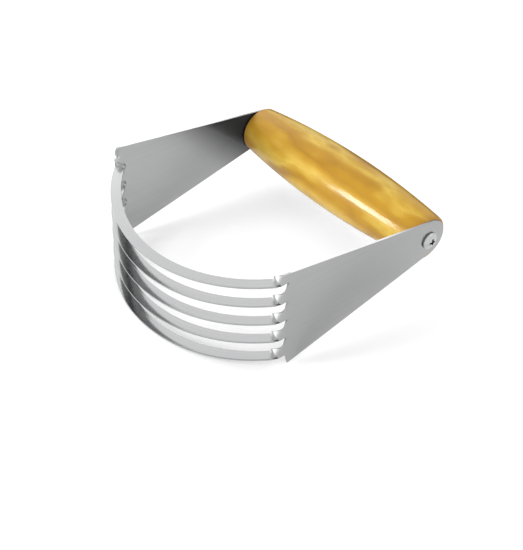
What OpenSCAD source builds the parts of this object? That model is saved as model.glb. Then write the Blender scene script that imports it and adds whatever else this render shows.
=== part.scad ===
// Pastry blender lying on its side.
// X runs along the handle, +Y points from the blades to the handle, +Z runs up across the blades.
// The origin is the middle of the handle's axis.

/* [Handle] */
// Clear distance between the two arms
span = 100; // [85:1:120]
// Diameter of the barrel at its middle
handle_mid_d = 25.8; // [21:0.2:30]
// Diameter of the barrel at its ends
handle_end_d = 19.2; // [15:0.2:20.4]
// Radius of the rounded rim at each end of the barrel
handle_rim_r = 1.2; // [0.6:0.1:2.5]

/* [Frame] */
// Thickness of the stainless sheet
sheet_t = 0.8; // [0.5:0.1:1.2]
// Distance from the handle's axis to the line where the blades leave the arms
arm_reach = 74.3; // [66:0.1:76]
// Height of the sheet's upper edge at the blades, above the handle's axis
sheet_top = 22.1; // [20:0.1:24]
// Distance that the lower corner of an arm stands back from the blades
corner_back = 1.0; // [0.5:0.1:3]
// Radius of the rounded end of an arm
arm_end_r = 8.0; // [7:0.1:9]
// Height of that end's centre above the screw
arm_end_rise = 0.7; // [-1:0.1:1]

/* [Blades] */
// Number of blades
blades = 5; // [3:1:6]
// Distance from one blade to the next, blade and slot together
pitch = 8.75; // [7:0.05:8.9]
// Width of a blade
blade_w = 4.1; // [3.2:0.1:5]
// Radius of the bow that a blade makes, at the middle of its width
bow_r = 59.6; // [57:0.1:64]
// Distance from the handle's axis to the middle of the bow
bow_reach = 98.6; // [97:0.1:102]
// Tilt of the blades, which droop as they leave the arms
bow_tilt = 8.8; // [6:0.1:11]
// Drop from a tab's lower edge to the middle of its blade
bow_drop = 5.4; // [4:0.1:7]
// Angle of the flat bow on each side of its middle
bow_half_angle = 51; // [44:0.5:52]

/* [Screws] */
// Diameter of the screw's plain shank
shank_d = 3.5; // [3:0.1:4]
// Diameter of the pan head
head_d = 7.2; // [6:0.1:9]
// Height of the pan head
head_h = 2.1; // [1.6:0.1:3]
// Length of the plain shank
shank_len = 6; // [4:0.5:9]
// Length of the thread, with its point
thread_len = 15; // [10:1:22]
// Distance between the turns of the thread
thread_pitch = 1.5; // [1.2:0.1:2]
// Diameter of the screw under its thread
core_d = 2.5; // [2.2:0.1:2.8]

/* [Hidden] */
$fn = 96;
// Gap at each end of the handle, and under each screw head
end_gap = 0.05;
// Radial running clearance of the shank in the arm and in the wood
shank_gap = 0.05;
// Radial clearance of the threaded core in its pilot hole
core_gap = 0.03;
arm_in = span / 2;
arm_out = arm_in + sheet_t;
arm_mid = arm_in + sheet_t / 2;
sheet_bottom = sheet_top - blades * pitch;
handle_half = arm_in - end_gap;
head_seat = arm_out + end_gap;
// The arm's straight edges cross its round end this far inside the circle
join_depth = 0.01;
// Steps along a twisted tab
twist_steps = 18;
// How strongly a tab's lower edge holds its direction at the arm, and at the bow
tab_pulls = [1.6, 1.4];
// Shares of a tab's length at which its twist begins and ends
twist_from = 0.18;
twist_to = 0.95;
// How far the twist leans forwards, half way through
lean = 0.6;
// Share of a tab's length over which the web above it runs out
web_end = 0.34;
// Power of the curve that the web's upper edge follows
web_curve = 1.5;
// A tab runs straight until it is this far out of the arm
tab_start = 0.2;
// Angle from the bow's middle at which it runs straight again
tab_end_angle = bow_half_angle + 0.2;
// A tab runs on into the arm and the bow by this much
tab_lap = 0.8;
// There it stands in from the sheet's edges and faces by these amounts
tab_inset = 0.15;
tab_relief = 0.05;
// Length of the screw's point, and its blunt end's share of the core's radius
point_len = 4;
blunt = 0.08;
// The thread ends this far before the tip
tip_margin = 0.3;
// The screw's shank runs this far into its head and its core
overlap = 0.01;
// A small share of a tab's length
small = 0.01;
// A cutter stands out of the faces that it cuts by this much
cut_over = 1;

// Height of the lower edge of tab k, counted from the top
function tab_low(k) = sheet_top - k * pitch - blade_w;
// Extra height of tab k's root, where it fills the end of the slot above it
function web(k) = k > 0 ? pitch - blade_w : 0;

// Point on a cubic curve with four control points
function curve(p, s) =
    pow(1 - s, 3) * p[0] + 3 * s * pow(1 - s, 2) * p[1] + 3 * s * s * (1 - s) * p[2] + pow(s, 3) * p[3];
function unit(v) = v / norm(v);

// ---------- blade frame ----------

// Where a line from point p touches a circle of radius r about c, on the side given by side
function touch(p, c, r, side) =
    let (d = p - c, a = atan2(d[1], d[0]) + side * acos(r / norm(d)))
    c + r * [cos(a), sin(a)];

// Outline of an arm: the first number is the distance from the handle's axis towards the blades,
// and the second is the height
module arm_outline() {
    end = [0, arm_end_rise];
    top = [arm_reach, sheet_top];
    corner = [arm_reach - corner_back, sheet_bottom];
    polygon([
        touch(top, end, arm_end_r - join_depth, 1),
        top,
        [arm_reach, tab_low(blades - 1)],
        corner,
        touch(corner, end, arm_end_r - join_depth, -1)]);
    translate(end) circle(arm_end_r);
}

// Right arm, standing across X with its hole on the handle's axis
module right_arm() {
    difference() {
        translate([arm_in, 0, 0]) rotate([90, 0, 90]) mirror([1, 0, 0])
            linear_extrude(sheet_t) arm_outline();
        translate([arm_in - cut_over, 0, 0]) rotate([0, 90, 0])
            cylinder(r = shank_d / 2 + shank_gap, h = sheet_t + 2 * cut_over);
    }
}

// Direction up out of a blade's face, and the direction from the bow's middle back to the handle
blade_up = [0, -sin(bow_tilt), cos(bow_tilt)];
blade_back = [0, cos(bow_tilt), sin(bow_tilt)];

// Middle of blade k's bow
function bow_middle(k) = [0, -bow_reach, tab_low(k) - bow_drop];

// Point on blade k at radius r and angle a from the middle, and the direction towards the arm there
function bow_point(k, r, a) =
    bow_middle(k) + r * sin(a) * [1, 0, 0] + (bow_r - r * cos(a)) * blade_back;
function bow_dir(a) = cos(a) * [1, 0, 0] + sin(a) * blade_back;

// Flat bow of one blade
module bow(k) {
    translate(bow_middle(k)) rotate([bow_tilt, 0, 0]) translate([0, bow_r, -sheet_t / 2])
        rotate([0, 0, -90 - bow_half_angle]) rotate_extrude(angle = 2 * bow_half_angle)
            translate([bow_r - blade_w / 2, 0]) square([blade_w, sheet_t]);
}

// Direction between unit vectors a and b, at a share of the turn from one to the other
function turned(a, b, share) =
    let (angle = acos(a * b))
    (sin((1 - share) * angle) * a + sin(share * angle) * b) / sin(angle);

// Share of a tab's quarter turn that is done at a share s of its length
function twist_share(s) =
    let (x = min(1, max(0, (s - twist_from) / (twist_to - twist_from))))
    x * x * (3 - 2 * x);

// Tab on the right: it leaves the arm upright, bends inwards and twists into the flat bow,
// where the outer face has become the top face
module right_tab(k) {
    root = [arm_mid, -arm_reach - tab_start, tab_low(k) + tab_inset];
    foot = bow_point(k, bow_r + blade_w / 2 - tab_inset, tab_end_angle);
    edge = [root, root - [0, tab_pulls[0], 0], foot + tab_pulls[1] * bow_dir(tab_end_angle), foot];
    inwards = unit(bow_point(k, 0, tab_end_angle) - foot);
    up = [0, 0, 1];
    function width(s) = blade_w - 2 * tab_inset + web(k) * pow(max(0, 1 - s / web_end), web_curve);
    function across(s) =
        let (share = twist_share(s))
        width(s) * unit(turned(up, inwards, share) - [0, 4 * lean * share * (1 - share), 0]);
    function middle(s) = curve(edge, s) + across(s) / 2;
    // Each section has two points on the lower edge and two on the upper edge
    function section(a, b, out) =
        let (n = (sheet_t / 2 - tab_relief) * out)
        [a - n, a + n, b + n, b - n];
    function twist(s) =
        let (
            a = curve(edge, s),
            b = a + across(s),
            dir = middle(s + small) - middle(s - small))
        section(a, b, s == 0 ? [1, 0, 0] : s == 1 ? blade_up : unit(cross(b - a, dir)));
    into_arm = tab_lap * [0, 1, 0];
    into_bow = -tab_lap * bow_dir(tab_end_angle);
    sections = concat(
        [section(root + into_arm, root + into_arm + across(0), [1, 0, 0])],
        [for (i = [0 : twist_steps]) twist(i / twist_steps)],
        [section(foot + into_bow, foot + into_bow + across(1), blade_up)]);
    last = twist_steps + 2;
    // First points of the quads that make the tab's four sides
    quads = [for (i = [0 : last - 1], j = [0 : 3]) [4 * i + j, 4 * i + (j + 1) % 4]];
    polyhedron(
        points = [for (s = sections) each s],
        faces = concat(
            [[0, 1, 2], [0, 2, 3]],
            [for (q = quads) each [[q[0], q[0] + 4, q[1]], [q[1], q[0] + 4, q[1] + 4]]],
            [[4 * last + 2, 4 * last + 1, 4 * last], [4 * last + 3, 4 * last + 2, 4 * last]]),
        convexity = 4);
}

// One piece of sheet: two arms joined by the blades
module blade_frame() {
    color([0.74, 0.75, 0.76]) union() {
        for (side = [0, 1]) mirror([side, 0, 0]) {
            right_arm();
            for (k = [0 : blades - 1]) right_tab(k);
        }
        for (k = [0 : blades - 1]) bow(k);
    }
}

// ---------- handle ----------

// Half of the barrel's outline: a shallow arc, with a rounded rim at the end
module barrel_outline() {
    rise = (handle_mid_d - handle_end_d) / 2;
    arc_r = (handle_half * handle_half + rise * rise) / (2 * rise);
    arc_y = handle_mid_d / 2 - arc_r;
    rim_x = handle_half - handle_rim_r;
    rim_y = arc_y + sqrt(pow(arc_r - handle_rim_r, 2) - rim_x * rim_x);
    // The rim's circle and the arc touch here
    meet_x = rim_x * arc_r / (arc_r - handle_rim_r);
    intersection() {
        translate([arc_y, 0]) circle(arc_r, $fn = 720);
        translate([0, -meet_x]) square([handle_mid_d, 2 * meet_x]);
    }
    for (side = [-1, 1]) translate([rim_y, side * rim_x]) circle(handle_rim_r, $fn = 48);
    translate([0, -handle_half]) square([rim_y, 2 * handle_half]);
}

// Stepped hole for one screw, from the end of the barrel inwards
module screw_hole() {
    translate([0, 0, handle_half - (shank_len - sheet_t)])
        cylinder(r = shank_d / 2 + shank_gap, h = shank_len);
    translate([0, 0, handle_half - shank_len - thread_len])
        cylinder(r = core_d / 2 + core_gap, h = shank_len + thread_len);
}

module handle() {
    color([0.84, 0.62, 0.22]) rotate([0, 90, 0]) difference() {
        rotate_extrude() intersection() {
            barrel_outline();
            translate([0, -span]) square([span, 2 * span]);
        }
        screw_hole();
        mirror([0, 0, 1]) screw_hole();
    }
}

// ---------- screws ----------

// Radius of the core at distance z from the plain shank: straight, then a point
function core_at(z) = core_d / 2 * min(1, max(blunt, (thread_len - z) / point_len));

// Sharp ridge that winds round the core
module thread_ridge() {
    steps = 20;
    tall = (shank_d - core_d) / 2;
    half = 0.36 * thread_pitch;
    turns = (thread_len - 2 * half - tip_margin) / thread_pitch;
    count = floor(turns * steps);
    // Steps over which the ridge rises at the shank and falls at the point
    fade_in = 8;
    fade_out = 30;
    least_ridge = 0.02;
    // The ridge's foot is this deep in the core
    ridge_root = 0.15;
    function ring(i) =
        let (
            a = 360 * i / steps,
            z = thread_pitch * i / steps,
            r = core_at(z),
            crest = max(least_ridge, tall * min(1, i / fade_in, (count - i) / fade_out)))
        [for (p = [[r - ridge_root, -half], [r + crest, 0], [r - ridge_root, half]])
            [p[0] * cos(a), p[0] * sin(a), z + p[1] + half]];
    sides = [for (i = [0 : count - 1], j = [0 : 2]) [3 * i + j, 3 * i + (j + 1) % 3]];
    polyhedron(
        points = [for (i = [0 : count]) each ring(i)],
        faces = concat(
            [[2, 1, 0]],
            [for (q = sides) each [[q[1], q[0] + 3, q[0]], [q[1] + 3, q[0] + 3, q[1]]]],
            [[3 * count, 3 * count + 1, 3 * count + 2]]),
        convexity = 10);
}

// Cross recess, cut down from the top of the head
module cross_recess() {
    wing = head_d * 0.32;
    tip = head_d * 0.1;
    deep = head_h * 0.72;
    above = 0.3;
    slot_w = 0.84;
    for (turn = [0, 90]) rotate([0, 0, turn]) rotate([90, 0, 0]) translate([0, 0, -slot_w / 2])
        linear_extrude(slot_w) polygon([[-wing, above], [wing, above], [tip, -deep], [-tip, -deep]]);
}

// Pan head: a low dome over a short straight rim
module pan_head() {
    rim_h = head_h * 0.38;
    dome_h = head_h - rim_h;
    dome_r = (pow(head_d / 2, 2) + dome_h * dome_h) / (2 * dome_h);
    difference() {
        rotate_extrude() intersection() {
            translate([0, head_h - dome_r]) circle(dome_r, $fn = 180);
            square([head_d / 2, head_h]);
        }
        translate([0, 0, head_h]) cross_recess();
    }
}

// Screw that stands on z = 0 with its head up, point down
module screw() {
    pan_head();
    translate([0, 0, -shank_len]) cylinder(d = shank_d, h = shank_len + overlap);
    translate([0, 0, -shank_len]) mirror([0, 0, 1]) {
        rotate_extrude() polygon([[0, -overlap], [core_at(0), -overlap],
            [core_at(0), thread_len - point_len], [core_at(thread_len), thread_len], [0, thread_len]]);
        thread_ridge();
    }
}

module screw_right() {
    color([0.80, 0.81, 0.82]) translate([head_seat, 0, 0]) rotate([0, 90, 0]) screw();
}

module screw_left() {
    color([0.80, 0.81, 0.82]) rotate([0, 0, 180]) translate([head_seat, 0, 0]) rotate([0, 90, 0]) screw();
}

blade_frame();
handle();
screw_left();
screw_right();
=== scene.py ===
import math

import bmesh
import bpy
from mathutils import Matrix, Vector


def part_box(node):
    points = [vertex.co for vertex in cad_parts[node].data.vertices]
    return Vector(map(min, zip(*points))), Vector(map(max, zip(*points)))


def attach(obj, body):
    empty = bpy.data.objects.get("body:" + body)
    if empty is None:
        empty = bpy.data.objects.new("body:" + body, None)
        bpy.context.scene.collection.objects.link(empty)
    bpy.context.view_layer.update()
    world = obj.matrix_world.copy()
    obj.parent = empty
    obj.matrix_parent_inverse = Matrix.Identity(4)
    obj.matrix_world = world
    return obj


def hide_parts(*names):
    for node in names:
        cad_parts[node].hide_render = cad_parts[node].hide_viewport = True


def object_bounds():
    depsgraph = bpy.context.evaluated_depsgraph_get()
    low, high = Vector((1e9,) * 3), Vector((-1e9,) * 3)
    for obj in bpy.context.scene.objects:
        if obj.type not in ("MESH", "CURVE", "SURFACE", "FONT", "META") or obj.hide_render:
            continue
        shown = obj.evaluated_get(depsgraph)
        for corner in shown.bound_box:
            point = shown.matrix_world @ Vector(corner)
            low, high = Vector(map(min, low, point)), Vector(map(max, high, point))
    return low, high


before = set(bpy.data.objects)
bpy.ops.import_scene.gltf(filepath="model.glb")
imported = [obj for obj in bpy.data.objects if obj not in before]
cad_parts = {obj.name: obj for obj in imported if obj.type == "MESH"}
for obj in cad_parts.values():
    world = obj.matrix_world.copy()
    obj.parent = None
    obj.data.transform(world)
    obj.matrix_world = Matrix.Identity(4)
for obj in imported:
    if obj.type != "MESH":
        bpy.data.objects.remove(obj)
cad_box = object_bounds()

# ---------------------------------------------------------------- sizes
# In millimetres, and the same as the design's. Angles are in radians.

MM = 0.001
SHEET_T = 0.8

# Arms: from the handle's axis to the blades' roots, the lower corner's step back, the round end, the hole
ARM_REACH = 74.3
CORNER_BACK = 1.0
ARM_END_R = 8.0
ARM_END_RISE = 0.7
HOLE_R = 1.8

# Blades: their number, spacing and width, then the bow that each one lies in: its radius, how far its front
# is from the handle's axis, its tilt, how far its front lies below the root, and half its opening angle
BLADES = 5
PITCH = 8.75
BLADE_W = 4.1
BOW_R = 59.6
BOW_REACH = 98.6
BOW_TILT = math.radians(8.8)
BOW_DROP = 5.4
BOW_END = math.radians(51)

# How strongly a tab's lower edge holds its direction at the arm, and at the bow
TAB_PULLS = (1.6, 1.4)
# Shares of a tab's length: where the web above it has run out, and where its twist starts and ends
WEB_END = 0.34
TWIST_START = 0.18
TWIST_END = 0.95
# How hollow the web's upper edge is, where 1 is straight
WEB_CURVE = 1.5
# How far the twist leans forwards, and how far it bulges, half way through
LEAN = 0.6
KNUCKLE = 0.7

# Handle: the rounding of its rim, and its diameter at the ends
RIM_R = 1.2
END_D = 19.2

# Screws: the plain neck and the thread's crest, the thread's core and its gap in the pilot hole, and lengths
SHANK_R = 1.75
CORE_R = 1.25
CORE_GAP = 0.03
SHANK_LEN = 6.0
THREAD_LEN = 15.0
THREAD_PITCH = 1.5
POINT_LEN = 4.0
HEAD_H = 2.1


def box_mm(node):
    """Lowest and highest corner of a CAD node, in millimetres."""
    return [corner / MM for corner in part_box(node)]


frame_high = box_mm("blade_frame")[1]
handle_high = box_mm("handle")[1]
screw_low, screw_high = box_mm("screw_right")
ARM_OUT = frame_high.x
ARM_MID = ARM_OUT - SHEET_T / 2
SHEET_TOP = frame_high.z
SHEET_BOTTOM = SHEET_TOP - BLADES * PITCH
HANDLE_HALF = handle_high.x
MID_R = handle_high.z
HEAD_SEAT = screw_high.x - HEAD_H
HEAD_R = screw_high.z
SCREW_TIP = screw_low.x


# ---------------------------------------------------------------- helpers

def clamped(value):
    """The value, held between 0 and 1."""
    return min(1.0, max(0.0, value))


def new_piece(name, mesh, body, node, materials):
    """Makes a piece of the object that stands for one CAD node."""
    piece = bpy.data.objects.new(name, mesh)
    bpy.context.scene.collection.objects.link(piece)
    for material in materials:
        mesh.materials.append(material)
    for polygon in mesh.polygons:
        polygon.use_smooth = True
    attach(piece, body)
    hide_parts(node)
    return piece


def apply_modifiers(piece):
    """Leaves the piece's final mesh in place of its modifiers."""
    bpy.context.view_layer.update()
    result = piece.evaluated_get(bpy.context.evaluated_depsgraph_get())
    final = bpy.data.meshes.new_from_object(result)
    piece.modifiers.clear()
    piece.data = final


def bevel(piece, width, angle):
    """Rounds the sharp edges of a piece and keeps its flat faces flat."""
    rounding = piece.modifiers.new("rounding", "BEVEL")
    rounding.width = width * MM
    rounding.segments = 3
    rounding.limit_method = "ANGLE"
    rounding.angle_limit = math.radians(angle)
    rounding.harden_normals = True


def arc(centre, radius, start, end, steps):
    """Points on an arc from one angle to another, both ends included."""
    angles = [start + (end - start) * i / steps for i in range(steps + 1)]
    return [(centre[0] + radius * math.cos(a), centre[1] + radius * math.sin(a)) for a in angles]


# ---------------------------------------------------------------- blade frame

WIDTH_STEPS = 6
TWIST_STEPS = 24
BOW_STEPS = 76
END_STEPS = 40
HOLE_STEPS = 24

# Direction along a blade's flat bow, from its middle back towards the handle
blade_back = Vector((0, math.cos(BOW_TILT), math.sin(BOW_TILT)))


def tab_low(k):
    """Height of the lower edge of tab k, counted from the top."""
    return SHEET_TOP - k * PITCH - BLADE_W


def web(k):
    """Extra height of tab k's root, where it fills the slot above it. The top tab has no slot above it."""
    return PITCH - BLADE_W if k else 0.0


def tab_width(k, s):
    """Width of tab k at a share of its length."""
    return BLADE_W + web(k) * max(0.0, 1 - s / WEB_END) ** WEB_CURVE


def bow_point(k, radius, angle):
    """Point of blade k's flat bow, at an angle from the bow's middle."""
    middle = Vector((0, -BOW_REACH, tab_low(k) - BOW_DROP))
    return middle + Vector((radius * math.sin(angle), 0, 0)) + (BOW_R - radius * math.cos(angle)) * blade_back


def on_curve(p, s):
    """Point on a cubic curve."""
    return (1 - s) ** 3 * p[0] + 3 * s * (1 - s) ** 2 * p[1] + 3 * s * s * (1 - s) * p[2] + s ** 3 * p[3]


def twist_share(s):
    """Share of a tab's quarter turn that is done at a share of its length."""
    x = clamped((s - TWIST_START) / (TWIST_END - TWIST_START))
    return x * x * (3 - 2 * x)


def twist_rows(k):
    """Rows of points across the tab of blade k: it leaves the arm upright, then twists into the flat bow.

    The twist bulges into a small knuckle."""
    root = Vector((ARM_MID, -ARM_REACH, tab_low(k)))
    foot = bow_point(k, BOW_R + BLADE_W / 2, BOW_END)
    towards_arm = Vector((math.cos(BOW_END), 0, 0)) + math.sin(BOW_END) * blade_back
    edge = root, root - Vector((0, TAB_PULLS[0], 0)), foot + TAB_PULLS[1] * towards_arm, foot
    inwards = (bow_point(k, BOW_R - BLADE_W / 2, BOW_END) - foot).normalized()
    step = 0.01
    rows = []
    for i in range(TWIST_STEPS):
        s = i / TWIST_STEPS
        turned = twist_share(s)
        halfway = 4 * turned * (1 - turned)
        direction = Vector((0, 0, 1)).slerp(inwards, turned) + Vector((0, -LEAN * halfway, 0))
        across = tab_width(k, s) * direction.normalized()
        ahead = on_curve(edge, s + step) - on_curve(edge, s)
        bulge = across.cross(ahead).normalized() * KNUCKLE * halfway
        points = [j / WIDTH_STEPS for j in range(WIDTH_STEPS + 1)]
        rows.append([on_curve(edge, s) + across * v + bulge * 4 * v * (1 - v) for v in points])
    return rows


def right_rows(k):
    """Rows of points across blade k, from its root in the right arm to the middle of the bow."""
    rows = twist_rows(k)
    for i in range(BOW_STEPS // 2 + 1):
        angle = BOW_END * (1 - 2 * i / BOW_STEPS)
        radii = [BOW_R + BLADE_W * (0.5 - j / WIDTH_STEPS) for j in range(WIDTH_STEPS + 1)]
        rows.append([bow_point(k, r, angle) for r in radii])
    return rows


def mirrored(point):
    return Vector((-point[0], point[1], point[2]))


def touch(point, centre, radius, side):
    """Angle at which a line from a point touches a circle."""
    away = (point[0] - centre[0], point[1] - centre[1])
    return math.atan2(away[1], away[0]) + side * math.acos(radius / math.hypot(*away))


def arm_halves():
    """Outlines of the arm's upper and lower half, which meet in a line through the hole.

    The first number is the distance from the handle's axis away from the blades, the second is the height."""
    end = (0, ARM_END_RISE)
    roots = [(-ARM_REACH, SHEET_TOP)]
    for k in range(BLADES):
        height = BLADE_W + web(k)
        roots += [(-ARM_REACH, tab_low(k) + height * j / WIDTH_STEPS) for j in reversed(range(WIDTH_STEPS))]
    corner = (-ARM_REACH + CORNER_BACK, SHEET_BOTTOM)
    top_touch = touch(roots[0], end, ARM_END_R, -1)
    low_touch = touch(corner, end, ARM_END_R, 1)
    upper_end = arc(end, ARM_END_R, top_touch, 0, END_STEPS)
    lower_end = arc(end, ARM_END_R, 0, low_touch, END_STEPS)
    split = (BLADES // 2 + 1) * WIDTH_STEPS
    upper_hole = arc((0, 0), HOLE_R, 0, math.pi, HOLE_STEPS)
    lower_hole = arc((0, 0), HOLE_R, math.pi, 2 * math.pi, HOLE_STEPS)
    upper = roots[split::-1] + upper_end + upper_hole
    lower = lower_end + [corner] + roots[:split - 1:-1] + lower_hole
    return upper, lower


def painted_fold_light_and_satin(k, row, column, rows):
    """Painted crease shade, painted highlight and satin of a point on a tab's twist, each from 0 to 1.

    The painted shade lies low in the twist. The painted highlight whitens the bend above it,
    and is wider higher up. The satin is the scuffed sheet over the whole twist."""
    s = min(row, rows - 1 - row) / TWIST_STEPS
    if s > 1:
        return 0.0, 0.0, 0.0
    height = clamped(column / WIDTH_STEPS * tab_width(k, s) / BLADE_W)
    shade_middle = 0.72
    shade_half = 0.14
    # Painted shade, darkest low in the twist
    painted_crease_shade = clamped(1.6 - abs(s - shade_middle) / shade_half) * clamped(1.5 - 2.6 * height)
    highlight_start = 0.66 - 0.34 * height
    highlight_end = 0.88 + 0.22 * height
    highlight_foot = 0.25
    fade = 0.12
    # Painted highlight on the bend above the painted shade
    painted_highlight = clamped((s - highlight_start) / fade) * clamped((highlight_end - s) / fade)
    painted_highlight *= clamped((height - highlight_foot) / 0.2)
    satin_start = 0.4
    return painted_crease_shade, painted_highlight, clamped((s - satin_start) / 0.15)


def blade_faces(k):
    """Faces of blade k and its tabs, and the strip's length from one screw to the other.

    Each corner of a face is its point, its place on the UV map, and its painted crease shade, painted
    highlight and satin."""
    half = right_rows(k)
    rows = half + [[mirrored(p) for p in row] for row in half[-2::-1]]
    along = [ARM_REACH]
    for before, after in zip(rows, rows[1:]):
        along.append(along[-1] + (after[WIDTH_STEPS // 2] - before[WIDTH_STEPS // 2]).length)
    heights = [tab_low(k) + BLADE_W * j / WIDTH_STEPS for j in range(WIDTH_STEPS + 1)]
    faces = []
    for i in range(len(rows) - 1):
        for j in range(WIDTH_STEPS):
            faces.append([
                (rows[a][b], (along[a], heights[b]), painted_fold_light_and_satin(k, a, b, len(rows)))
                for a, b in [(i, j), (i + 1, j), (i + 1, j + 1), (i, j + 1)]])
    return faces, along[-1] + ARM_REACH


def frame_mesh():
    """The sheet's middle surface: two arms and the blades between them, with one UV map.

    In that map, in millimetres, U runs along the strip from arm to arm and V runs across it."""
    faces = []
    for k in range(BLADES):
        blade, total = blade_faces(k)
        faces += blade
    unfolded = (0, 0, 0)
    for outline in arm_halves():
        faces.append([(Vector((ARM_MID, y, z)), (-y, z), unfolded) for y, z in outline])
        faces.append([(Vector((-ARM_MID, y, z)), (total + y, z), unfolded) for y, z in reversed(outline)])
    bm = bmesh.new()
    brushed = bm.loops.layers.uv.new("brushed")
    # Vertex layers: painted crease shade, painted highlight and satin of the tabs' twists
    layers = [bm.verts.layers.float.new(name) for name in ("painted_crease_shade", "painted_highlight", "satin")]
    for corners in faces:
        face = bm.faces.new([bm.verts.new(point * MM) for point, _, _ in corners])
        for loop, (_, place, marks) in zip(face.loops, corners):
            loop[brushed].uv = place
            for layer, value in zip(layers, marks):
                loop.vert[layer] = value
    bmesh.ops.remove_doubles(bm, verts=bm.verts, dist=0.001 * MM)
    bmesh.ops.recalc_face_normals(bm, faces=bm.faces)
    mesh = bpy.data.meshes.new("blade_frame_sheet")
    bm.to_mesh(mesh)
    bm.free()
    return mesh


def make_frame(sheet, cut_edge):
    """Gives the middle surface its thickness and rounds its cut edges."""
    name = "blade_frame_sheet"
    piece = new_piece(name, frame_mesh(), "frame", "blade_frame", [sheet, cut_edge])
    thick = piece.modifiers.new("thickness", "SOLIDIFY")
    thick.thickness = SHEET_T * MM
    thick.offset = 0
    thick.use_even_offset = True
    thick.use_quality_normals = True
    thick.material_offset_rim = 1
    bevel(piece, width=0.13, angle=40)
    apply_modifiers(piece)


# ---------------------------------------------------------------- turned pieces

BARREL_STEPS = 60
RIM_STEPS = 12
HANDLE_SIDES = 144
SCREW_SIDES = 72
SCREW_ROWS = 168


def turned_mesh(name, profile, steps, radius_at=None):
    """Turns a profile of (distance along X, radius) points round the X axis.

    A radius of zero closes the surface in a point. radius_at(x, radius, angle) may change a radius."""
    bm = bmesh.new()
    rings = []
    for x, radius in profile:
        if radius == 0:
            rings.append([bm.verts.new(Vector((x, 0, 0)) * MM)])
            continue
        ring = []
        for i in range(steps):
            angle = 2 * math.pi * i / steps
            r = radius_at(x, radius, angle) if radius_at else radius
            ring.append(bm.verts.new(Vector((x, r * math.cos(angle), r * math.sin(angle))) * MM))
        rings.append(ring)
    for a, b in zip(rings, rings[1:]):
        for i in range(steps):
            j = (i + 1) % steps
            loop = [a[i % len(a)], a[j % len(a)], b[j % len(b)], b[i % len(b)]]
            bm.faces.new(list(dict.fromkeys(loop)))
    bmesh.ops.recalc_face_normals(bm, faces=bm.faces)
    mesh = bpy.data.meshes.new(name)
    bm.to_mesh(mesh)
    bm.free()
    return mesh


def handle_profile():
    """Half of the barrel's profile, from the middle of its length over the rim and into the screw hole."""
    rise = MID_R - END_D / 2
    arc_r = (HANDLE_HALF ** 2 + rise ** 2) / (2 * rise)
    arc_y = MID_R - arc_r
    rim_x = HANDLE_HALF - RIM_R
    rim_y = arc_y + math.sqrt((arc_r - RIM_R) ** 2 - rim_x ** 2)
    meet = math.asin(rim_x / (arc_r - RIM_R))
    angles = [meet * i / BARREL_STEPS for i in range(BARREL_STEPS)]
    barrel = [(arc_r * math.sin(a), arc_y + arc_r * math.cos(a)) for a in angles]
    rim = arc((rim_x, rim_y), RIM_R, math.pi / 2 - meet, 0, RIM_STEPS)
    shank_hole = HANDLE_HALF - (SHANK_LEN - SHEET_T)
    hole_bottom = HANDLE_HALF - SHANK_LEN - THREAD_LEN
    pilot_r = CORE_R + CORE_GAP
    step_len = 0.5
    drill_point = 0.7
    chamfer = 0.25
    face = [(HANDLE_HALF, rim_y * share) for share in (0.8, 0.6, 0.4)]
    hole = [
        (HANDLE_HALF, HOLE_R + chamfer), (HANDLE_HALF - chamfer, HOLE_R), (shank_hole, HOLE_R),
        (shank_hole - step_len, pilot_r), (hole_bottom, pilot_r), (hole_bottom - drill_point, 0)]
    return barrel + rim + face + hole


def make_handle(wood):
    half = handle_profile()
    profile = [(-x, r) for x, r in reversed(half[1:])] + half
    name = "handle_barrel"
    mesh = turned_mesh(name, profile, HANDLE_SIDES)
    new_piece(name, mesh, "grip", "handle", [wood])


# ---------------------------------------------------------------- screws

def thread_radius(x, radius, angle):
    """Adds the thread's ridge to a radius on the screw's core."""
    start = HEAD_SEAT - SHANK_LEN
    bare_tip = 0.4
    along = start - x
    length = start - SCREW_TIP - bare_tip
    if along <= 0 or along >= length:
        return radius
    half_ridge = 0.34
    rise = 0.8
    fall = 1.5
    phase = (along / THREAD_PITCH - angle / (2 * math.pi)) % 1
    ridge = max(0.0, 1 - abs(phase - 0.5) / half_ridge)
    fade = min(1, along / rise, (length - along) / fall)
    return radius + (SHANK_R - CORE_R) * ridge * fade


def screw_profile():
    """Profile of the right screw, from its tip to the top of its head."""
    start = HEAD_SEAT - SHANK_LEN
    length = start - SCREW_TIP
    blunt = 0.08
    core = []
    for i in range(1, SCREW_ROWS):
        along = length * (1 - i / SCREW_ROWS)
        core.append((start - along, CORE_R * min(1, max(blunt, (length - along) / POINT_LEN))))
    rim_h = HEAD_H * 0.38
    dome_h = HEAD_H - rim_h
    dome_r = (HEAD_R ** 2 + dome_h ** 2) / (2 * dome_h)
    shoulder = 0.4
    dome_x = HEAD_SEAT + HEAD_H - dome_r
    rim_y = HEAD_R - shoulder
    rim_x = dome_x + math.sqrt((dome_r - shoulder) ** 2 - rim_y ** 2)
    slope = math.atan2(rim_y, rim_x - dome_x)
    fillet = 0.2
    edge = 0.12
    step_len = 0.3
    under = [(HEAD_SEAT, SHANK_R + fillet), (HEAD_SEAT, HEAD_R - edge), (HEAD_SEAT + edge, HEAD_R)]
    rim_angles = [(math.pi / 2 - slope) * i / 8 for i in range(9)]
    rim = [(rim_x + shoulder * math.sin(a), rim_y + shoulder * math.cos(a)) for a in rim_angles]
    dome_angles = [slope * (1 - i / 16) for i in range(1, 16)]
    dome = [(dome_x + dome_r * math.cos(a), dome_r * math.sin(a)) for a in dome_angles]
    shank = [(start, CORE_R), (start + step_len, SHANK_R), (HEAD_SEAT - fillet, SHANK_R)]
    head = under + rim + dome + [(HEAD_SEAT + HEAD_H, 0)]
    return [(SCREW_TIP, 0)] + core + shank + head


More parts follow.
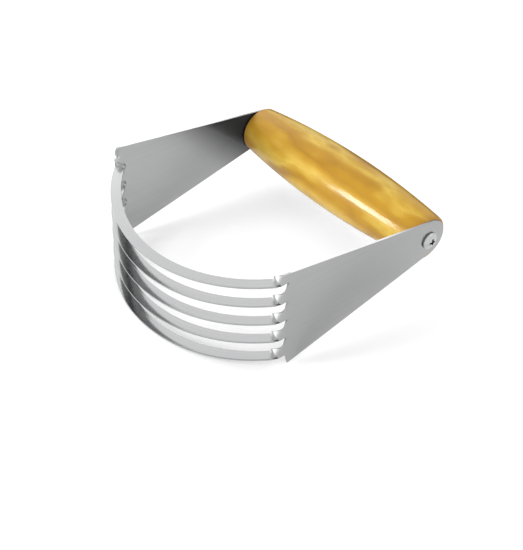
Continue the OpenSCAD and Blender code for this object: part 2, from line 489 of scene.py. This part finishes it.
def cross_cutter():
    """Tapered cross that cuts the driver's recess into the right screw's head."""
    above = 0.3
    depth = 1.5
    point_len = 0.3
    top = HEAD_SEAT + HEAD_H + above
    bottom = HEAD_SEAT + HEAD_H - depth
    bm = bmesh.new()
    rings = []
    for x, wing, half in ((top, 2.0, 0.40), (bottom, 0.62, 0.26)):
        inner = half * 1.35
        quarter = [(wing, -half), (wing, half), (inner, inner)]
        ring = []
        for c, s in [(1, 0), (0, 1), (-1, 0), (0, -1)]:
            ring += [bm.verts.new(Vector((x, y * c - z * s, y * s + z * c)) * MM) for y, z in quarter]
        rings.append(ring)
    count = len(rings[0])
    for i in range(count):
        j = (i + 1) % count
        bm.faces.new([rings[0][i], rings[0][j], rings[1][j], rings[1][i]])
    tip = bm.verts.new(Vector((bottom - point_len, 0, 0)) * MM)
    for i in range(count):
        bm.faces.new([rings[1][i], rings[1][(i + 1) % count], tip])
    bm.faces.new(rings[0])
    bmesh.ops.recalc_face_normals(bm, faces=bm.faces)
    mesh = bpy.data.meshes.new("cross_cutter")
    bm.to_mesh(mesh)
    bm.free()
    cutter = bpy.data.objects.new("cross_cutter", mesh)
    bpy.context.scene.collection.objects.link(cutter)
    return cutter


def make_screws(steel):
    """The right screw is cut once, and the left one is the same mesh turned about Z."""
    cutter = cross_cutter()
    mesh = turned_mesh("screw_right_steel", screw_profile(), SCREW_SIDES, thread_radius)
    right = new_piece("screw_right_steel", mesh, "grip", "screw_right", [steel])
    cut = right.modifiers.new("recess", "BOOLEAN")
    cut.object = cutter
    cut.operation = "DIFFERENCE"
    cut.solver = "EXACT"
    bevel(right, width=0.06, angle=38)
    apply_modifiers(right)
    bpy.data.objects.remove(cutter)
    turned = right.data.copy()
    turned.transform(Matrix.Rotation(math.pi, 4, "Z"))
    new_piece("screw_left_steel", turned, "grip", "screw_left", [])


# ---------------------------------------------------------------- material helpers

class Tree:
    """Short calls that build one material's nodes.

    An input is a number, a colour or another node's output."""

    def __init__(self, name):
        self.material = bpy.data.materials.new(name)
        self.material.use_nodes = True
        self.nodes = self.material.node_tree.nodes
        self.shader = self.nodes["Principled BSDF"]

    def put(self, socket, value):
        if isinstance(value, bpy.types.NodeSocket):
            self.material.node_tree.links.new(value, socket)
        else:
            socket.default_value = value

    def add(self, kind, inputs=None, **settings):
        made = self.nodes.new("ShaderNode" + kind)
        for key, value in settings.items():
            setattr(made, key, value)
        for key, value in (inputs or {}).items():
            self.put(made.inputs[key], value)
        return made

    def math(self, operation, a, b=0.0):
        return self.add("Math", {0: a, 1: b}, operation=operation).outputs[0]

    def length(self, a, b):
        """Length of a flat vector."""
        return self.math("SQRT", self.math("ADD", self.math("POWER", a, 2), self.math("POWER", b, 2)))

    def mix(self, factor, a, b):
        return self.add("Mix", {0: factor, 6: a, 7: b}, data_type="RGBA").outputs[2]

    def span(self, value, low, high, to_low, to_high, smooth=False):
        """Maps a value from one span to another, held at its ends."""
        kind = "SMOOTHSTEP" if smooth else "LINEAR"
        inputs = {"Value": value, "From Min": low, "From Max": high, "To Min": to_low, "To Max": to_high}
        return self.add("MapRange", inputs, interpolation_type=kind).outputs[0]

    def noise(self, vector, scale=1.0, detail=2.0, roughness=0.5, distortion=0.0):
        inputs = {"Vector": vector, "Scale": scale, "Detail": detail, "Roughness": roughness}
        return self.add("TexNoise", inputs | {"Distortion": distortion}).outputs[0]

    def stretched(self, vector, scales, shift=(0, 0, 0)):
        """A coordinate with its own scale along each axis."""
        return self.add("Mapping", {"Vector": vector, "Scale": scales, "Location": shift}).outputs[0]

    def ramp(self, factor, stops):
        made = self.add("ValToRGB", {"Fac": factor})
        points = made.color_ramp.elements
        while len(points) < len(stops):
            points.new(0.5)
        for point, (place, colour) in zip(points, stops):
            point.position = place
            point.color = (*colour, 1)
        return made.outputs[0]

    def bumps(self, layers):
        """Stacks bump layers, each a height, its distance in millimetres and its strength."""
        normal = None
        for height, distance, strength in layers:
            inputs = {"Height": height, "Distance": distance * MM, "Strength": strength}
            if normal is not None:
                inputs["Normal"] = normal
            normal = self.add("Bump", inputs).outputs[0]
        return normal

    def finish(self, **inputs):
        for key, value in inputs.items():
            self.put(self.shader.inputs[key.replace("_", " ")], value)
        return self.material


def object_mm(tree):
    """Object coordinates in millimetres."""
    return tree.stretched(tree.add("TexCoord").outputs["Object"], (1 / MM,) * 3)


def ray(tree, kind):
    """One for rays of a kind, such as Is Glossy Ray, and zero for others."""
    return tree.add("LightPath").outputs[kind]


def fold_attribute(tree, name):
    """One of the sheet's fold layers: painted crease shade, painted highlight or satin."""
    return tree.add("Attribute", attribute_name=name).outputs["Fac"]


# ---------------------------------------------------------------- materials

def sheet_steel():
    """Satin stainless sheet with fine brushing along the strip, faint smudges and hairline scratches.

    The tabs' painted crease shade and painted highlight are on its outer side; the satin roughness is on
    both."""
    t = Tree("stainless_sheet")
    along = t.add("UVMap", uv_map="brushed").outputs[0]
    place = object_mm(t)
    fine = t.noise(t.stretched(along, (0.03, 9, 1)), detail=3, roughness=0.65)
    broad = t.noise(t.stretched(along, (0.012, 1.3, 1), (7, 3, 0)), detail=3)
    smudge = t.noise(place, scale=0.045, detail=3, roughness=0.55)
    hair = t.noise(t.stretched(along, (0.25, 2.6, 1), (31, 11, 0)), detail=1, distortion=1.6)
    scratch = t.span(t.math("ABSOLUTE", t.math("SUBTRACT", hair, 0.5)), 0.0, 0.006, 1, 0)
    scratch_here = t.math("MULTIPLY", scratch, t.span(smudge, 0.5, 0.62, 0, 1))
    grain = t.math("ADD", t.math("MULTIPLY", fine, 0.5), t.math("MULTIPLY", broad, 0.5))
    tone = t.ramp(grain, [(0.3, (0.405, 0.407, 0.41)), (0.7, (0.452, 0.454, 0.457))])
    tone = t.mix(t.span(smudge, 0.35, 0.7, 0, 0.1), tone, (0.42, 0.42, 0.425, 1))
    normal_parts = t.add("SeparateXYZ", {0: t.add("NewGeometry").outputs["Normal"]}).outputs
    side = t.math("SIGN", t.add("SeparateXYZ", {0: place}).outputs[0])
    outwards = t.math("ADD", t.math("MULTIPLY", normal_parts[0], side), normal_parts[2])
    outer = t.span(outwards, 0, 0.3, 0, 1)
    painted_crease_shade = t.math("MULTIPLY", outer, fold_attribute(t, "painted_crease_shade"))
    # Painted shade: the tabs' creases are darkened nearly to black on the outer side
    tone = t.mix(t.span(painted_crease_shade, 0.1, 0.6, 0, 0.92), tone, (0.03, 0.03, 0.03, 1))
    # Painted highlight: the bend above each crease is painted white on the outer side
    tone = t.mix(t.math("MULTIPLY", outer, fold_attribute(t, "painted_highlight")), tone, (1, 1, 1, 1))
    rough = t.math("ADD", t.span(fine, 0.3, 0.7, 0.12, 0.17), t.span(smudge, 0.35, 0.7, -0.02, 0.04))
    rough = t.math("ADD", rough, t.math("MULTIPLY", fold_attribute(t, "satin"), 0.42))
    normal = t.bumps([(broad, 0.02, 0.15), (fine, 0.004, 0.25), (scratch_here, -0.004, 0.5)])
    tangent = t.add("Tangent", direction_type="UV_MAP", uv_map="brushed").outputs[0]
    return t.finish(
        Base_Color=tone, Metallic=1.0, Roughness=rough, Normal=normal, Anisotropic=0.35, Tangent=tangent)


def cut_edge_steel():
    """Sheared edge of the sheet, duller than its faces.

    On the arms it has a painted highlight, nearly white, where it faces up, and that fades out near the
    handle."""
    t = Tree("stainless_cut_edge")
    place = object_mm(t)
    grain = t.noise(place, scale=3.2, detail=3, roughness=0.7)
    band = t.noise(place, scale=0.35, detail=2)
    tone = t.ramp(grain, [(0.3, (0.36, 0.365, 0.37)), (0.7, (0.47, 0.475, 0.48))])
    facing_up = t.add("SeparateXYZ", {0: t.add("NewGeometry").outputs["Normal"]}).outputs[2]
    back = t.add("SeparateXYZ", {0: place}).outputs[1]
    past_roots = t.span(back, -ARM_REACH - 1, -ARM_REACH + 2, 0, 1)
    before_handle = t.span(back, -25, -9, 1, 0)
    on_arm = t.math("MULTIPLY", past_roots, before_handle)
    # Painted highlight on the arms' upward-facing cut edges
    painted_top_highlight = t.math("MULTIPLY", t.span(facing_up, 0.2, 0.9, 0, 1), on_arm)
    tone = t.mix(painted_top_highlight, tone, (0.93, 0.93, 0.93, 1))
    rough = t.span(band, 0.3, 0.7, 0.28, 0.42)
    return t.finish(Base_Color=tone, Metallic=1.0, Roughness=rough, Normal=t.bumps([(grain, 0.02, 0.3)]))


def screw_steel():
    """Bright plated steel with turning marks round the head, and painted shade in the recess."""
    t = Tree("screw_steel")
    place = object_mm(t)
    parts = t.add("SeparateXYZ", {0: place}).outputs
    radius = t.length(parts[1], parts[2])
    marks_rate = 38.0
    marks = t.math("SINE", t.math("MULTIPLY", radius, marks_rate))
    wear = t.noise(place, scale=1.4, detail=3, roughness=0.6)
    painted_recess_shade = t.add("AmbientOcclusion", {"Distance": 1.2 * MM}, samples=8).outputs["AO"]
    # Painted shade: the recess turns dark where ambient occlusion finds it hidden
    tone = t.mix(t.span(painted_recess_shade, 0.35, 0.9, 0, 1), (0.10, 0.095, 0.09, 1), (0.55, 0.555, 0.56, 1))
    rough = t.span(wear, 0.35, 0.65, 0.12, 0.26)
    normal = t.bumps([(marks, 0.004, 0.2), (wear, 0.02, 0.2)])
    return t.finish(Base_Color=tone, Metallic=1.0, Roughness=rough, Normal=normal)


def growth_rings(t, place):
    """How far a point is across its growth ring, from 0 to 1.

    The rings are nested round an axis beside the handle, and noise bends them into a soft figure."""
    bend_by = 26
    axis_back, axis_down = 17.0, 12.0
    slope_back, slope_down = 0.16, -0.10
    ring_width = 12.5
    slow = t.stretched(place, (0.022, 0.055, 0.055))
    bend = t.add("TexNoise", {"Vector": slow, "Scale": 1.35, "Detail": 2.0}).outputs[1]
    shift = t.add("VectorMath", {0: bend, 1: (0.5,) * 3}, operation="SUBTRACT").outputs[0]
    bent = t.add("VectorMath", {0: shift, 1: (bend_by,) * 3, 2: place}, operation="MULTIPLY_ADD").outputs[0]
    parts = t.add("SeparateXYZ", {0: bent}).outputs
    beside = t.math("ADD", parts[1], t.math("ADD", t.math("MULTIPLY", parts[0], slope_back), axis_back))
    below = t.math("ADD", parts[2], t.math("ADD", t.math("MULTIPLY", parts[0], slope_down), axis_down))
    return t.math("FRACT", t.math("DIVIDE", t.length(beside, below), ring_width))


def varnished_wood():
    """Honey-coloured hardwood under clear gloss varnish.

    Light that the wood sends to the floor and the steel is toned down, so that neither turns yellow; in the
    steel's mirror the wood is nearly black, a painted dark reflection beside the handle."""
    t = Tree("varnished_wood")
    place = object_mm(t)
    figure = t.ramp(growth_rings(t, place), [
        (0.0, (0.36, 0.175, 0.001)), (0.22, (0.44, 0.23, 0.003)), (0.44, (0.67, 0.46, 0.065)),
        (0.62, (0.60, 0.375, 0.035)), (0.8, (0.48, 0.26, 0.004)), (1.0, (0.36, 0.175, 0.001))])
    cloud = t.noise(place, scale=0.05, detail=2)
    tone = t.mix(t.span(cloud, 0.42, 0.64, 0, 0.5), figure, (0.49, 0.265, 0.005, 1))
    fibre = t.noise(t.stretched(place, (0.09, 2.4, 2.4)), detail=3, roughness=0.6)
    tone = t.mix(t.span(fibre, 0.48, 0.68, 0, 0.34), tone, (0.45, 0.20, 0.004, 1))
    pore = t.noise(t.stretched(place, (0.35, 5.5, 5.5), (3, 9, 4)), detail=1)
    tone = t.mix(t.span(pore, 0.62, 0.72, 0, 0.36), tone, (0.28, 0.11, 0.003, 1))
    from_middle = t.math("ABSOLUTE", t.add("SeparateXYZ", {0: place}).outputs[0])
    near_end = t.span(from_middle, HANDLE_HALF - 5, HANDLE_HALF, 0, 0.5, True)
    tone = t.mix(near_end, tone, (0.33, 0.13, 0.006, 1))
    tone = t.mix(ray(t, "Is Diffuse Ray"), tone, (0.7, 0.7, 0.7, 1))
    # Painted reflection: the wood is nearly black in the steel's mirror
    tone = t.mix(ray(t, "Is Glossy Ray"), tone, (0.035, 0.033, 0.03, 1))
    ripple = t.noise(place, scale=0.16, detail=2)
    peel = t.noise(place, scale=1.1, detail=2)
    coat_normal = t.bumps([(ripple, 0.25, 0.25), (peel, 0.02, 0.25)])
    return t.finish(
        Base_Color=tone, Roughness=t.span(fibre, 0.3, 0.7, 0.42, 0.55), Normal=t.bumps([(fibre, 0.05, 0.2)]),
        Specular_IOR_Level=0.2, Coat_Weight=0.55, Coat_Roughness=0.12, Coat_IOR=1.45, Coat_Normal=coat_normal)


def pale_floor():
    """Plain pale floor that doesn't hide the object from below.

    What the steel mirrors is a painted reflection: bright, lighter to the left, with a painted dark patch
    behind the handle's left half."""
    t = Tree("pale_floor")
    place = t.stretched(t.add("NewGeometry").outputs["Position"], (1 / MM,) * 3)
    parts = t.add("SeparateXYZ", {0: place}).outputs
    # Painted reflection: a dark patch behind the handle's left half, seen only by glossy rays
    behind_handle = t.span(parts[1], -16, 18, 0, 1, True)
    left_of_middle = t.span(parts[0], 0, 45, 1, 0, True)
    dark_reflection_patch = t.math("MULTIPLY", behind_handle, left_of_middle)
    bright = t.mix(t.span(parts[0], 20, 50, 0, 1, True), (0.99, 0.99, 0.99, 1), (0.88, 0.88, 0.88, 1))
    painted_reflection = t.mix(dark_reflection_patch, bright, (0.02, 0.02, 0.02, 1))
    tone = t.mix(ray(t, "Is Glossy Ray"), (0.93, 0.93, 0.93, 1), painted_reflection)
    matt = t.add("BsdfDiffuse", {"Color": tone}).outputs[0]
    strength = t.span(ray(t, "Is Camera Ray"), 0, 1, 0, 0.12)
    lift = t.add("Emission", {"Strength": strength}).outputs[0]
    shader = t.add("AddShader", {0: matt, 1: lift}).outputs[0]
    clear = t.add("BsdfTransparent").outputs[0]
    behind = t.add("NewGeometry").outputs["Backfacing"]
    seen = t.add("MixShader", {0: behind, 1: shader, 2: clear}).outputs[0]
    output = next(n for n in t.nodes if n.type == "OUTPUT_MATERIAL")
    t.put(output.inputs["Surface"], seen)
    return t.material


# ---------------------------------------------------------------- floor, light and camera

def make_floor():
    half = 4.0
    gap = 0.02 * MM
    level = min(cad_box[0].z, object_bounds()[0].z) - gap
    corners = [(-half, -half, level), (half, -half, level), (half, half, level), (-half, half, level)]
    mesh = bpy.data.meshes.new("floor")
    mesh.from_pydata(corners, [], [(0, 1, 2, 3)])
    floor = bpy.data.objects.new("floor", mesh)
    bpy.context.scene.collection.objects.link(floor)
    mesh.materials.append(pale_floor())


def softbox(name, direction, distance, width, height, radiance):
    """Rectangular soft light that shines at the middle of the object from a direction.

    Distance and sides are in metres."""
    data = bpy.data.lights.new(name, "AREA")
    data.shape = "RECTANGLE"
    data.size = width
    data.size_y = height
    data.energy = radiance * math.pi * width * height
    light = bpy.data.objects.new(name, data)
    bpy.context.scene.collection.objects.link(light)
    back = Vector(direction).normalized()
    middle = Vector((0, -45, 0)) * MM
    light.location = middle + back * distance
    light.rotation_mode = "QUATERNION"
    light.rotation_quaternion = (-back).to_track_quat("-Z", "Y")
    light.visible_camera = False


def make_world(strength):
    world = bpy.data.worlds.new("studio")
    world.use_nodes = True
    background = world.node_tree.nodes["Background"]
    background.inputs["Color"].default_value = (1, 1, 1, 1)
    background.inputs["Strength"].default_value = strength
    bpy.context.scene.world = world


def make_camera():
    azimuth = math.radians(47.85)
    elevation = math.radians(39.67)
    roll = math.radians(1.8)
    aim = Vector((11.86, -52.43, -15.09)) * MM
    distance = 549.4 * MM
    flat = math.cos(elevation)
    back = Vector((math.sin(azimuth) * flat, -math.cos(azimuth) * flat, math.sin(elevation)))
    level = (-back).cross(Vector((0, 0, 1))).normalized()
    upright = level.cross(-back)
    across = level * math.cos(roll) + upright * math.sin(roll)
    up = -level * math.sin(roll) + upright * math.cos(roll)
    data = bpy.data.cameras.new("camera")
    data.lens = 91.2
    data.clip_start = 0.01
    data.clip_end = 20
    camera = bpy.data.objects.new("camera", data)
    bpy.context.scene.collection.objects.link(camera)
    place = Matrix((across, up, back)).transposed().to_4x4()
    place.translation = aim + back * distance
    camera.matrix_world = place
    bpy.context.scene.camera = camera


# Each light: its name, the direction it comes from, its distance, width and height, and its radiance
LIGHTS = (
    ("sky_box", (-0.80, 0.20, 0.60), 1.3, 1.2, 1.0, 0.35),
    ("left_card", (-0.80, 0.28, 0.53), 1.3, 0.40, 0.55, 0.6),
    ("back_box", (0.62, 0.52, 0.50), 1.3, 0.6, 0.6, 0.6),
    ("window", (-0.43, -0.87, 0.235), 1.5, 0.32, 0.46, 26),
    ("front_card", (-0.3, -0.95, 0.12), 1.5, 0.9, 0.3, 4),
)


# ---------------------------------------------------------------- build

make_frame(sheet_steel(), cut_edge_steel())
make_handle(varnished_wood())
make_screws(screw_steel())
make_floor()
make_world(strength=1.02)
for light in LIGHTS:
    softbox(*light)
make_camera()
bpy.context.scene.view_settings.view_transform = "Standard"
